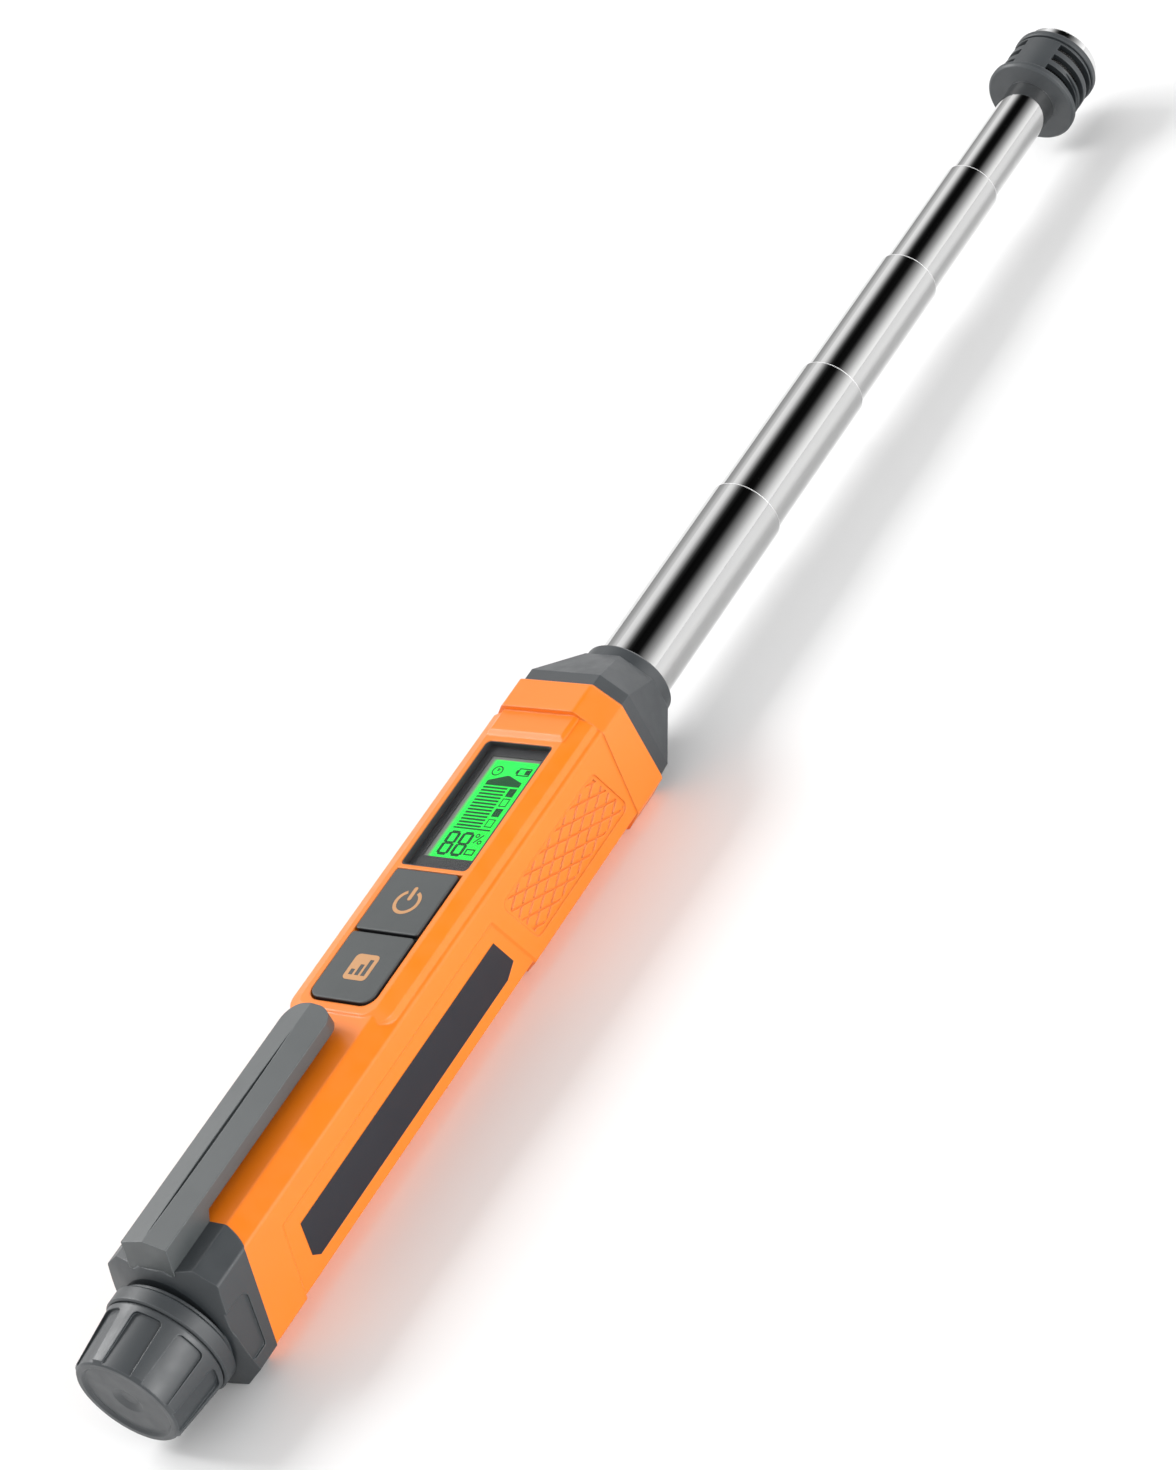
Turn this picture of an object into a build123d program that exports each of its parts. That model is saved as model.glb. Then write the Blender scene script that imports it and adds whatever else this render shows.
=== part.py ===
from build123d import *
import os
from math import cos, hypot, radians, sin

# Pen-type combustible gas detector with a five-section telescopic probe, lying on its back.
# Stations are measured along the probe axis from a datum just behind the collar's front face,
# heights from the probe axis. +X points to the sensor head, +Z out of the display.

# Body section
body_half_width = 12.6
body_top = 12.4
body_back = 13.55
top_flat_half = 8.8
back_flat_half = 7.2
side_top_edge = 9.65
side_low_edge = 8.75
body_edge_round = 0.9
wall = 1.6

# Collar and nose
collar_front = 0.45
collar_length = 7.0
collar_low_length = 9.2
collar_half_width = 12.9
collar_top = 14.45
collar_flat_half = 8.3
collar_side_edge = 9.3
collar_bevel = 0.6
collar_edge_round = 1.1
nose_length = 15.5
nose_inset = 0.7
nose_band = 2.6
nose_ring_radius = 8.9
nose_ring_length = 2.9
nose_ring_bevel = 0.5
nose_lip = 2.2
spigot_depth = 3.5

# Display plateau, window and keys
plateau_rise = 0.35
plateau_end = 79.0
plateau_corner = 2.6
skirt_run = 2.8
skirt_rear_run = 1.4
skirt_drop = 1.25
skirt_foot = 10.1
pad_rise = 0.6
pad_end = 12.0
pad_bevel = 0.9
pad_half_width = 8.2
window_start = 14.3
window_length = 30.7
window_width = 15.3
window_corner = 1.0
lens_thickness = 0.7
lens_sink = 0.75
mask_thickness = 0.15
lcd_start = 16.3
lcd_length = 25.2
lcd_width = 12.0
lcd_border = 0.2
lcd_thickness = 1.1
bridge = 1.0
key_width = 14.5
power_key_length = 14.6
sensitivity_key_length = 15.5
key_split = 0.5
key_sink = 0.65
key_gap = 0.35
key_wing = 0.8
key_wing_thickness = 0.5
key_pocket = 7.0
key_travel = 0.4
key_corner = 2.4
key_edge_round = 0.35

# Side grips and label
side_slant = 0.29
grip_front = 11.7
grip_length = 32.7
grip_top = 5.8
grip_low = 6.1
grip_corner = 1.5
grip_sink = 0.35
grip_border = 0.7
groove_angle = 27
groove_pitch = 2.5
groove_width = 0.36
groove_depth = 0.3
zone_start = 48.5
zone_end_lead = 19.5
zone_top = 4.9
zone_sink = 0.5
zone_bevel_angle = 50
label_front = 51.4
label_length = 64.2
label_top = 1.85
label_low = 6.0
label_corner = 1.5
label_thickness = 0.3
label_proud = 0.06

# Rear shell, clip and battery cap
seam_top_lead = 14.0
seam_edge_lead = 12.0
seam_low_lead = 6.6
seam_bow = 0.35
shell_proud = 0.2
shell_end_lead = 1.3
shell_spigot = 6.0
shell_spigot_wall = 1.2
shell_lean = 6.2
shell_taper_lead = 0.5
shell_taper_length = 3.0
shell_taper_rise = 7.0
shell_panel_top = 4.6
shell_panel_cut = 1.0
shell_panel_step = 3.2
shell_panel_low = 6.5
shell_panel_front_lead = 6.6
shell_panel_foot_lead = 5.0
shell_panel_rear_lead = 1.3
shell_panel_corner = 0.9
shell_panel_sink = 0.4
neck_root_radius = 11.0
neck_radius = 8.9
neck_length = 8.0
neck_end_wall = 4.5
neck_relief = 1.2
thread_pitch = 1.5
thread_depth = 0.45
thread_turns = 3
clip_tip = 81.8
clip_tail_lead = 4.3
clip_half_width = 5.2
clip_edge_height = 16.8
clip_ridge_rise = 0.9
clip_thickness = 2.45
clip_tip_radius = 3.6
clip_foot_length = 9.2
clip_foot_lean = 1.7
clip_seat_depth = 0.7
clip_groove_width = 0.8
clip_groove_depth = 0.6
clip_groove_tail_inset = 1.2
clip_groove_tip_inset = 6.0
cap_gap = 0.3
cap_band = 3.1
band_bevel = 0.3
band_groove_width = 0.35
band_groove_depth = 0.4
cap_band_radius = 11.85
cap_front_radius = 11.4
cap_tail_radius = 10.35
cap_length = 15.2
cap_end_wall = 2.4
cap_rim_width = 1.6
cap_rim_bevel = 0.7
cap_face_sink = 0.5
flute_count = 8
flute_angle = 29
flute_phase = 20
flute_depth = 0.45
flute_front_land = 1.0
flute_corner = 0.9
dimple_radius = 3.0
dimple_depth = 0.6
cap_bore_clearance = 0.05
seal_thickness = 0.5
seal_bore_radius = 7.2

# Battery train
cell_radius = 5.25
cell_length = 44.5
cell_button_radius = 1.9
cell_button = 0.8
cell_rim = 0.4
cell_clearance = 0.15
sleeve_wall = 0.8
contact_thickness = 0.5
contact_radius = 4.6
spring_wire_radius = 0.35
spring_coils = 3
spring_length = 3.6
spring_radius = 3.4

# Probe tubes, from the outermost to the innermost
tube_radii = [7.35, 6.85, 6.3, 5.72, 5.15]
tube_reach = [45.1, 35.0, 32.5, 28.0, 26.9]
tube_wall = 0.3
tube_lip = 1.2
tube_tip_bevel = 0.18
bush_length = 6.0
bush_stop_gap = 0.3
slide_clearance = 0.05
tip_proud = 0.8
guide_bore_radius = 7.6
guide_wall = 0.4
guide_end_hole = 3.0

# Sensor head
head_length = 14.6
head_socket = 2.6
head_floor = 1.0
head_flange_radius = 9.5
head_flange = 1.7
head_flange_bevel = 0.4
cage_radius = 8.75
cage_wall = 1.3
slot_land = 0.15
slot_rows = 3
slot_width = 1.8
slot_rib = 1.2
post_count = 2
post_angle = 49
post_turn = 12.5
ring_radius = 8.95
ring_length = 1.4
ring_bevel = 0.2
ring_groove_width = 0.65
ring_groove_depth = 0.5
bezel_radius = 7.9
bezel_wall = 0.6
bezel_bevel = 0.45
bezel_proud = 2.6
bezel_tail = 0.9
bezel_hole_radius = 6.2
mesh_thickness = 0.4
mesh_hole_radius = 0.75
mesh_hole_pitch = 2.4
mesh_rows = 5
element_radius = 4.6
element_length = 4.4
element_cap_radius = 3.6
header_thickness = 1.0

# Electronics
board_thickness = 0.8
board_half_width = 9.4
switch_size = 6.0
switch_body = 1.0
switch_plunger_radius = 1.6
switch_plunger = 0.25
buzzer_radius = 4.4
buzzer_height = 3.4
buzzer_hole_radius = 0.8
bay_margin = 5.45
fit_gap = 0.1
seat_gap = 0.05

# Derived stations and heights
plateau_top = body_top + plateau_rise
pad_top = plateau_top + pad_rise
skirt_half_width = top_flat_half + skirt_run
inner_top = body_top - wall
shell_top = body_top + shell_proud
lens_top = plateau_top - lens_sink
lens_base = lens_top - lens_thickness
mask_base = lens_base - mask_thickness
window_end = window_start + window_length
lcd_top = mask_base - seat_gap
key_top = plateau_top - key_sink
keys_front = window_end + bridge
power_start = keys_front + key_gap
power_end = power_start + power_key_length
sensitivity_start = power_end + key_split
sensitivity_end = sensitivity_start + sensitivity_key_length
keys_rear = sensitivity_end + key_gap
guide_radius = guide_bore_radius + guide_wall
board_base = guide_radius + fit_gap
board_top = board_base + board_thickness
backlight_thickness = lcd_top - lcd_thickness - board_top
wing_top = inner_top - fit_gap
key_base = wing_top - key_wing_thickness
plunger_top = board_top + switch_body + switch_plunger
key_ceiling = plunger_top + key_travel + seat_gap
low_slope = (body_half_width - back_flat_half) / (body_back - side_low_edge)
bush_overlap = bush_length + bush_stop_gap
tube_tips = [nose_length + sum(tube_reach[: i + 1]) for i in range(len(tube_reach))]
first_tube_rear = nose_length - nose_lip - bush_overlap
first_tube_travel = tube_reach[0] - tip_proud
guide_rear = first_tube_rear - first_tube_travel - bush_stop_gap - guide_wall
head_base = tube_tips[-1]
probe_end = head_base + head_length
ring_station = probe_end - bezel_proud - ring_length
slots_length = slot_rows * slot_width + (slot_rows - 1) * slot_rib
slots_middle = head_base + head_flange + slot_land + slots_length / 2
buzzer_station = buzzer_radius + bay_margin - guide_rear
sleeve_front = buzzer_station + buzzer_radius + bay_margin
cell_front_end = sleeve_front + sleeve_wall + contact_thickness
cell_joint = cell_front_end + cell_length
cell_rear_start = cell_joint + cell_length
cap_floor = cell_rear_start + contact_thickness + spring_length
cap_tail = cap_floor + cap_end_wall + cap_face_sink
cap_front = cap_tail - cap_length
neck_station = cap_front - cap_gap
neck_end = neck_station + neck_length
cap_shoulder = neck_end + seat_gap + seal_thickness
cap_bore_radius = neck_radius + cap_bore_clearance
cap_body_front = cap_front + cap_band + band_groove_width
cell_bore = cell_radius + cell_clearance
sleeve_radius = cell_bore + sleeve_wall
zone_end = neck_station - zone_end_lead
seam_top = neck_station - seam_top_lead
seam_edge = neck_station - seam_edge_lead
seam_low = neck_station - seam_low_lead
shell_end = neck_station - shell_end_lead
shell_taper_start = neck_station - shell_taper_lead
clip_tail = neck_station - clip_tail_lead
clip_foot_front = clip_tail - clip_foot_length
middle = (probe_end - cap_tail) / 2
axis_height = body_back
probe_axis = Axis((0, 0, axis_height), (1, 0, 0))


def station(x):
    """Section plane at a station: local x runs along +Y, local y along +Z, normal +X."""
    return Plane(origin=(x - middle, 0, axis_height), x_dir=(0, 1, 0), z_dir=(1, 0, 0))


def side(y):
    """Plane seen from the -Y side: local x is the station, local y the height."""
    return Plane(origin=(-middle, y, axis_height), x_dir=(1, 0, 0), z_dir=(0, -1, 0))


def level(z):
    """Plane at a height above the probe axis: local x is the station, local y runs along +Y."""
    return Plane(origin=(-middle, 0, axis_height + z))


def spoke(x, angle):
    """Plane through a station whose normal points outwards at an angle about the axis."""
    outwards = (0, cos(radians(angle)), sin(radians(angle)))
    return Plane(origin=(x - middle, 0, axis_height), x_dir=(1, 0, 0), z_dir=outwards)


def mirrored(half):
    """Closed outline from the points of its +Y half, listed from the top down."""
    return Polygon(*half, *[(-y, z) for y, z in reversed(half)], align=None)


def body_section(grow=0.0, corner=body_edge_round):
    """Eight-sided body section, grown or shrunk all round, with rounded edges."""
    with BuildSketch() as section:
        mirrored([
            (top_flat_half, body_top),
            (body_half_width, side_top_edge),
            (body_half_width, -side_low_edge),
            (back_flat_half, -body_back),
        ])
        if grow:
            offset(amount=grow, kind=Kind.INTERSECTION, mode=Mode.REPLACE)
        fillet(section.vertices(), corner)
    return section.sketch


def collar_section(shrink=0.0, corner=collar_edge_round):
    """Eight-sided collar section, with rounded edges."""
    with BuildSketch() as section:
        mirrored([
            (collar_flat_half, collar_top),
            (collar_half_width, collar_side_edge),
            (collar_half_width, -side_low_edge),
            (collar_flat_half, -body_back),
        ])
        if shrink:
            offset(amount=-shrink, kind=Kind.INTERSECTION, mode=Mode.REPLACE)
        if corner:
            fillet(section.vertices(), corner)
    return section.sketch


def behind_seam():
    """Side view of all that lies behind the curved seam between body and rear shell."""
    with BuildLine() as seam:
        roof = Line((-shell_end - 9, body_top + 6), (-seam_top, body_top + 6))
        drop = Line(roof @ 1, (-seam_top, body_top))
        bow_middle = (seam_bow - (seam_top + seam_edge) / 2, (body_top + side_top_edge) / 2)
        bow = ThreePointArc(drop @ 1, bow_middle, (-seam_edge, side_top_edge))
        lean = Line(bow @ 1, (-seam_low, -side_low_edge))
        foot = Line(lean @ 1, (-seam_low, -body_back - 6))
        base = Line(foot @ 1, (-shell_end - 9, -body_back - 6))
        Line(base @ 1, roof @ 0)
    return seam.line.edges()


def rounded_pocket(start, length, width, corner):
    """Rounded rectangle seen from above, from a station towards the tail."""
    with Locations((-start - length / 2, 0)):
        return RectangleRounded(length, width, corner)


def ring_profile(rear, front, inner, outer):
    """Half section of a plain ring about the probe axis, between two stations."""
    return Polygon((rear, inner), (front, inner), (front, outer), (rear, outer), align=None)


def round_nose_corners():
    """Corner points of the eight-sided section whose faces touch the nose ring."""
    high = (collar_top - collar_side_edge, collar_half_width - collar_flat_half)
    low = (body_back - side_low_edge, collar_half_width - collar_flat_half)
    high_across = nose_ring_radius * (hypot(*high) - high[1]) / high[0]
    high_up = nose_ring_radius * (hypot(*high) - high[0]) / high[1]
    low_across = nose_ring_radius * (hypot(*low) - low[1]) / low[0]
    low_down = nose_ring_radius * (hypot(*low) - low[0]) / low[1]
    return [
        (high_across, nose_ring_radius),
        (nose_ring_radius, high_up),
        (nose_ring_radius, -low_down),
        (low_across, -nose_ring_radius),
    ]


def leaning_plane():
    """Side plane on the axis at the rear shell's taper, leaning with the seam."""
    lean = radians(shell_lean)
    return Plane(
        origin=(-shell_taper_start - middle, 0, axis_height),
        x_dir=(cos(lean), 0, -sin(lean)),
        z_dir=(0, -1, 0),
    )


def save(piece, label):
    """Names a finished piece and writes its file."""
    piece.part.label = label
    export_step(piece.part, f"parts/{label}.step")


os.makedirs("parts", exist_ok=True)

# Collar: its rear edge leans back down the sides
with BuildPart() as collar:
    with BuildSketch(side(0)):
        Polygon(
            (collar_front, collar_top + 1),
            (-collar_length, collar_top + 1),
            (-collar_length, side_top_edge),
            (-collar_low_length, -side_low_edge),
            (-collar_low_length, -body_back - 1),
            (collar_front, -body_back - 1),
            align=None,
        )
    extrude(amount=collar_half_width + 1, both=True)
    with BuildSketch(station(-collar_low_length)):
        add(collar_section())
    extrude(amount=collar_low_length + collar_front, mode=Mode.INTERSECT)
    chamfer(collar.faces().sort_by(Axis.X)[-1].edges(), collar_bevel)

# Display plateau: flat top, gently falling skirt, then a short steep wall
with BuildPart() as plateau:
    with BuildSketch(level(plateau_top)):
        with Locations((-(collar_length + plateau_end) / 2 + plateau_corner, 0)):
            RectangleRounded(
                plateau_end - collar_length + 2 * plateau_corner,
                2 * top_flat_half,
                plateau_corner,
            )
    with BuildSketch(level(plateau_top - skirt_drop)):
        with Locations((-(collar_length + plateau_end) / 2 + plateau_corner, 0)):
            RectangleRounded(
                plateau_end - collar_length + 2 * (plateau_corner + skirt_rear_run),
                2 * skirt_half_width,
                plateau_corner + skirt_rear_run,
            )
    loft(ruled=True)
    with BuildSketch(level(plateau_top - skirt_drop)):
        with Locations((-(collar_length + plateau_end) / 2 + plateau_corner, 0)):
            RectangleRounded(
                plateau_end - collar_length + 2 * (plateau_corner + skirt_rear_run),
                2 * skirt_half_width,
                plateau_corner + skirt_rear_run,
            )
    extrude(amount=-(plateau_top - skirt_drop - skirt_foot), taper=-12)
    split(bisect_by=station(-collar_length), keep=Keep.BOTTOM)

# Bevelled pad between the plateau and the collar
with BuildPart() as pad:
    with BuildSketch(level(plateau_top)):
        Polygon(
            (-collar_length + 1, pad_half_width + pad_bevel),
            (-collar_length + 1, -pad_half_width - pad_bevel),
            (-pad_end - pad_bevel, -pad_half_width - pad_bevel),
            (-pad_end - pad_bevel, pad_half_width + pad_bevel),
            align=None,
        )
    with BuildSketch(level(pad_top)):
        Polygon(
            (-collar_length + 1, pad_half_width),
            (-collar_length + 1, -pad_half_width),
            (-pad_end, -pad_half_width),
            (-pad_end, pad_half_width),
            align=None,
        )
    loft(ruled=True)

# Sunken label field on each side, open over the lower edge
with BuildPart() as label_zone:
    zone_plane = side(-body_half_width + zone_sink)
    zone_low = body_back + 2
    zone_outline = [
        (-zone_start - side_slant * zone_top, zone_top),
        (-zone_start + side_slant * zone_low, -zone_low),
        (-zone_end - side_slant * zone_low, -zone_low),
        (-zone_end + side_slant * zone_top, zone_top),
    ]
    with BuildSketch(zone_plane):
        Polygon(*zone_outline, align=None)
    extrude(amount=zone_sink * 2, taper=-zone_bevel_angle)
    with BuildSketch(zone_plane):
        Polygon(*zone_outline, align=None)
    extrude(amount=-body_half_width / 2)
    with BuildSketch(station(-zone_end - 20)):
        Polygon(
            (-body_half_width + zone_sink, zone_top + 3),
            (-body_half_width + zone_sink, -side_low_edge + zone_sink / 2),
            (-body_half_width + zone_sink + low_slope * zone_low, -side_low_edge - zone_low),
            (-body_half_width - 3, -side_low_edge - zone_low),
            (-body_half_width - 3, zone_top + 3),
            align=None,
        )
    extrude(amount=zone_end, mode=Mode.INTERSECT)
    mirror(about=Plane.XZ)

# Grip field with crossed grooves on each side
with BuildPart() as grip_cut:
    grip_outline = [
        (-grip_front - side_slant * grip_top, grip_top),
        (-grip_front + side_slant * grip_low, -grip_low),
        (-grip_front - grip_length + side_slant * grip_low, -grip_low),
        (-grip_front - grip_length - side_slant * grip_top, grip_top),
    ]
    with BuildSketch(side(-body_half_width + grip_sink)) as grip_field:
        Polygon(*grip_outline, align=None)
        fillet(grip_field.vertices(), grip_corner)
    extrude(amount=grip_sink + 1)
    with BuildSketch(side(-body_half_width + grip_sink + groove_depth)):
        groove_count = int(grip_length / groove_pitch) // 2 * 2 + 3
        for lean in (groove_angle, -groove_angle):
            with Locations(Location((-grip_front - grip_length / 2, 0, 0), (0, 0, lean))):
                with GridLocations(1, groove_pitch, 1, groove_count):
                    Rectangle(2 * grip_length, groove_width)
        with BuildSketch(mode=Mode.PRIVATE) as groove_limit:
            Polygon(*grip_outline, align=None)
            offset(amount=-grip_border, kind=Kind.INTERSECTION, mode=Mode.REPLACE)
        add(groove_limit.sketch_local, mode=Mode.INTERSECT)
    extrude(amount=groove_depth + 1)
    mirror(about=Plane.XZ)

# Orange body tube with its collar, display plateau and side fields
with BuildPart() as housing:
    with BuildSketch(station(-shell_end)):
        add(body_section())
    extrude(amount=shell_end - collar_bevel)
    add(collar.part)
    add(plateau.part)
    add(pad.part)
    add(label_zone.part, mode=Mode.SUBTRACT)
    with BuildSketch(station(-shell_end)):
        add(body_section(-wall, body_edge_round / 2))
    extrude(amount=shell_end + 1, mode=Mode.SUBTRACT)
    with BuildSketch(side(0)):
        make_face(behind_seam())
    extrude(amount=body_half_width + 2, both=True, mode=Mode.SUBTRACT)
    # Lens pocket and opening for the display
    with BuildSketch(level(mask_base)):
        rounded_pocket(
            window_start - fit_gap,
            window_length + 2 * fit_gap,
            window_width + 2 * fit_gap,
            window_corner,
        )
    extrude(amount=plateau_top, mode=Mode.SUBTRACT)
    with BuildSketch(level(inner_top - 1)):
        with Locations((-lcd_start - lcd_length / 2, 0)):
            Rectangle(lcd_length + 2 * fit_gap, lcd_width + 2 * fit_gap)
    extrude(amount=plateau_top, mode=Mode.SUBTRACT)
    # Opening for the two keys, rounded at its lower end
    with BuildSketch(level(inner_top - 1)):
        with Locations((-(keys_front + keys_rear) / 2, 0)):
            Rectangle(keys_rear - keys_front, key_width + 2 * key_gap)
    extrude(amount=plateau_top, mode=Mode.SUBTRACT)
    key_corners = housing.edges().filter_by(Axis.Z).filter_by_position(
        Axis.X, -keys_rear - middle - 0.01, -keys_rear - middle + 0.01
    )
    fillet(key_corners, key_corner + key_gap)
    add(grip_cut.part, mode=Mode.SUBTRACT)
    # Shallow pocket that seats the label plate
    with BuildSketch(side(-body_half_width + zone_sink)) as label_field:
        Polygon(
            (-label_front, label_top),
            (-label_front + side_slant * label_low, -label_low + label_corner),
            (-label_front - label_corner, -label_low),
            (-label_front - label_length, -label_low),
            (-label_front - label_length - label_corner, -label_low + label_corner),
            (-label_front - label_length, label_top),
            align=None,
        )
    extrude(amount=-(label_thickness - label_proud), mode=Mode.SUBTRACT)
save(housing, "housing")

# Plate on the display's left-hand side of the body
with BuildPart() as label_plate:
    with BuildSketch(side(-body_half_width + zone_sink + label_thickness - label_proud)):
        add(label_field.sketch_local)
    extrude(amount=label_thickness)
save(label_plate, "label_plate")

# Nose: a band, then eight facets running into a round ring, with a spigot into the body
with BuildPart() as nose_cone:
    with BuildSketch(station(collar_front + nose_band)):
        add(collar_section(nose_inset, 0))
    with BuildSketch(station(nose_length - nose_ring_length)):
        mirrored(round_nose_corners())
    loft(ruled=True)
    with BuildSketch(station(collar_front)):
        add(collar_section(nose_inset, 0))
    extrude(amount=nose_band)
    with BuildSketch(station(collar_front - spigot_depth)):
        add(body_section(-wall - seat_gap))
    extrude(amount=spigot_depth)
    with BuildSketch(side(0)):
        Polygon(
            (nose_band, 0),
            (nose_band, nose_ring_radius),
            (nose_length - nose_ring_bevel, nose_ring_radius),
            (nose_length, nose_ring_radius - nose_ring_bevel),
            (nose_length, 0),
            align=None,
        )
    revolve(axis=probe_axis)
    with BuildSketch(side(0)):
        ring_profile(-spigot_depth, nose_length - nose_lip, 0, guide_radius + seat_gap)
        ring_profile(-spigot_depth, nose_length + 1, 0, tube_radii[0] + slide_clearance)
    revolve(axis=probe_axis, mode=Mode.SUBTRACT)
save(nose_cone, "nose_cone")

# Pocket clip: roofed bar whose leaning foot is seated in the rear shell
with BuildPart() as pocket_clip:
    with BuildSketch(side(0)):
        Polygon(
            (-clip_tip, clip_edge_height + clip_ridge_rise + 1),
            (-clip_tip, clip_edge_height - clip_thickness),
            (-clip_foot_front + clip_foot_lean, clip_edge_height - clip_thickness),
            (-clip_foot_front, shell_top - clip_seat_depth),
            (-clip_tail - clip_foot_lean, shell_top - clip_seat_depth),
            (-clip_tail, clip_edge_height + clip_ridge_rise),
            (-clip_tail, clip_edge_height + clip_ridge_rise + 1),
            align=None,
        )
    extrude(amount=clip_half_width + 1, both=True)
    with BuildSketch(station(-clip_tail - 2 * clip_foot_lean)):
        Polygon(
            (-clip_half_width, 0),
            (-clip_half_width, clip_edge_height),
            (0, clip_edge_height + clip_ridge_rise),
            (clip_half_width, clip_edge_height),
            (clip_half_width, 0),
            align=None,
        )
    extrude(amount=clip_tail, mode=Mode.INTERSECT)
    tip_corners = pocket_clip.edges().filter_by(Axis.Z).group_by(Axis.X)[-1]
    fillet(tip_corners, clip_tip_radius)
    # Slender groove along the ridge
    with BuildSketch(level(clip_edge_height + clip_ridge_rise - clip_groove_depth)):
        with BuildLine():
            groove_rear = (-clip_tail + clip_groove_tail_inset, 0)
            groove_tip = (-clip_tip - clip_groove_tip_inset, 0)
            groove_middle = (groove_rear[0] + groove_tip[0]) / 2
            ThreePointArc(groove_rear, (groove_middle, clip_groove_width / 2), groove_tip)
            ThreePointArc(groove_tip, (groove_middle, -clip_groove_width / 2), groove_rear)
        make_face()
    extrude(amount=clip_groove_depth + 1, mode=Mode.SUBTRACT)
save(pocket_clip, "pocket_clip")

# Tapered end of the rear shell: a cone leaning with the seam
with BuildPart() as shell_taper:
    with BuildSketch(leaning_plane()):
        Polygon(
            (0, 0),
            (0, neck_root_radius),
            (shell_taper_length, neck_root_radius + shell_taper_rise),
            (shell_end, neck_root_radius + shell_taper_rise),
            (shell_end, 0),
            align=None,
        )
    revolve(axis=Axis(leaning_plane().origin, leaning_plane().x_dir))
    with BuildSketch(station(-neck_station)):
        add(body_section(shell_proud))
    extrude(amount=shell_end, mode=Mode.INTERSECT)
    split(bisect_by=level(-body_back), keep=Keep.TOP)
    with BuildSketch(side(0)):
        make_face(behind_seam())
    extrude(amount=body_half_width + 2, both=True, mode=Mode.INTERSECT)

# Rear shell: spigot into the body, side recesses, clip seat and threaded neck
with BuildPart() as rear_shell:
    add(shell_taper.part)
    with BuildSketch(station(-seam_low)):
        add(body_section(-wall - seat_gap))
    extrude(amount=seam_low - seam_top + shell_spigot)
    with BuildSketch(side(0)):
        ring_profile(-neck_station, -shell_taper_start, 0, neck_root_radius)
        Polygon(
            (-neck_station, 0),
            (-neck_station, neck_radius - thread_depth),
            (-neck_station - neck_relief, neck_radius - thread_depth),
            (-neck_station - neck_relief - thread_depth, neck_radius),
            (-neck_end + thread_depth, neck_radius),
            (-neck_end, neck_radius - thread_depth),
            (-neck_end, 0),
            align=None,
        )
    revolve(axis=probe_axis)
    with BuildSketch(station(-neck_station + neck_end_wall)):
        add(body_section(-wall - shell_spigot_wall, body_edge_round / 2))
    extrude(amount=shell_end, mode=Mode.SUBTRACT)
    with BuildSketch(side(0)):
        ring_profile(-neck_end - 1, 0, 0, sleeve_radius + seat_gap)
        with Locations((-neck_station - neck_relief - thread_pitch, neck_radius)):
            with GridLocations(thread_pitch, 1, thread_turns, 1, align=(Align.MAX, Align.CENTER)):
                RegularPolygon(thread_depth, 3, rotation=-90)
    revolve(axis=probe_axis, mode=Mode.SUBTRACT)
    with BuildSketch(side(-body_half_width - shell_proud + shell_panel_sink)) as shell_panel:
        Polygon(
            (shell_panel_rear_lead - neck_station, shell_panel_top),
            (shell_panel_front_lead - neck_station, shell_panel_top),
            (shell_panel_front_lead + shell_panel_cut - neck_station, shell_panel_step),
            (shell_panel_foot_lead - neck_station, -shell_panel_low),
            (shell_panel_rear_lead - neck_station, -shell_panel_low),
            align=None,
        )
        fillet(shell_panel.vertices(), shell_panel_corner)
    panel_cut = extrude(amount=2, mode=Mode.SUBTRACT)
    mirror(panel_cut, about=Plane.XZ, mode=Mode.SUBTRACT)
    add(pocket_clip.part, mode=Mode.SUBTRACT)
save(rear_shell, "rear_shell")

# Screw cap with flutes open at its rear rim
with BuildPart() as flutes:
    flute_planes = [
        spoke(0, flute_phase + index * 360 / flute_count) for index in range(flute_count)
    ]
    with BuildSketch(*flute_planes):
        with Locations((-(cap_body_front + flute_front_land) - cap_length / 2, 0)):
            RectangleRounded(
                cap_length,
                2 * cap_front_radius * sin(radians(flute_angle / 2)),
                flute_corner,
            )
    extrude(amount=cap_band_radius + 1)
    with BuildSketch(side(0)):
        Polygon(
            (-cap_front, cap_front_radius - flute_depth),
            (-cap_front, cap_band_radius + 1),
            (-cap_tail - 1, cap_band_radius + 1),
            (-cap_tail - 1, cap_tail_radius - flute_depth),
            align=None,
        )
    revolve(axis=probe_axis, mode=Mode.INTERSECT)

with BuildPart() as battery_cap:
    with BuildSketch(side(0)):
        Polygon(
            (-cap_front, cap_bore_radius),
            (-cap_front, cap_band_radius - band_bevel),
            (-cap_front - band_bevel, cap_band_radius),
            (-cap_front - cap_band + band_bevel, cap_band_radius),
            (-cap_front - cap_band, cap_band_radius - band_bevel),
            (-cap_front - cap_band, cap_front_radius - band_groove_depth),
            (-cap_body_front, cap_front_radius - band_groove_depth),
            (-cap_body_front, cap_front_radius),
            (-cap_tail + cap_rim_bevel, cap_tail_radius),
            (-cap_tail, cap_tail_radius - cap_rim_bevel),
            (-cap_tail, cap_tail_radius - cap_rim_width),
            (-cap_tail + cap_face_sink, cap_tail_radius - cap_rim_width - cap_face_sink),
            (-cap_tail + cap_face_sink, dimple_radius),
            (-cap_tail + cap_face_sink + dimple_depth, dimple_radius / 2),
            (-cap_tail + cap_face_sink + dimple_depth, 0),
            (-cap_floor, 0),
            (-cap_floor, seal_bore_radius),
            (-cap_shoulder, seal_bore_radius),
            (-cap_shoulder, cap_bore_radius),
            align=None,
        )
    revolve(axis=probe_axis)
    add(flutes.part, mode=Mode.SUBTRACT)
save(battery_cap, "battery_cap")

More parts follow.
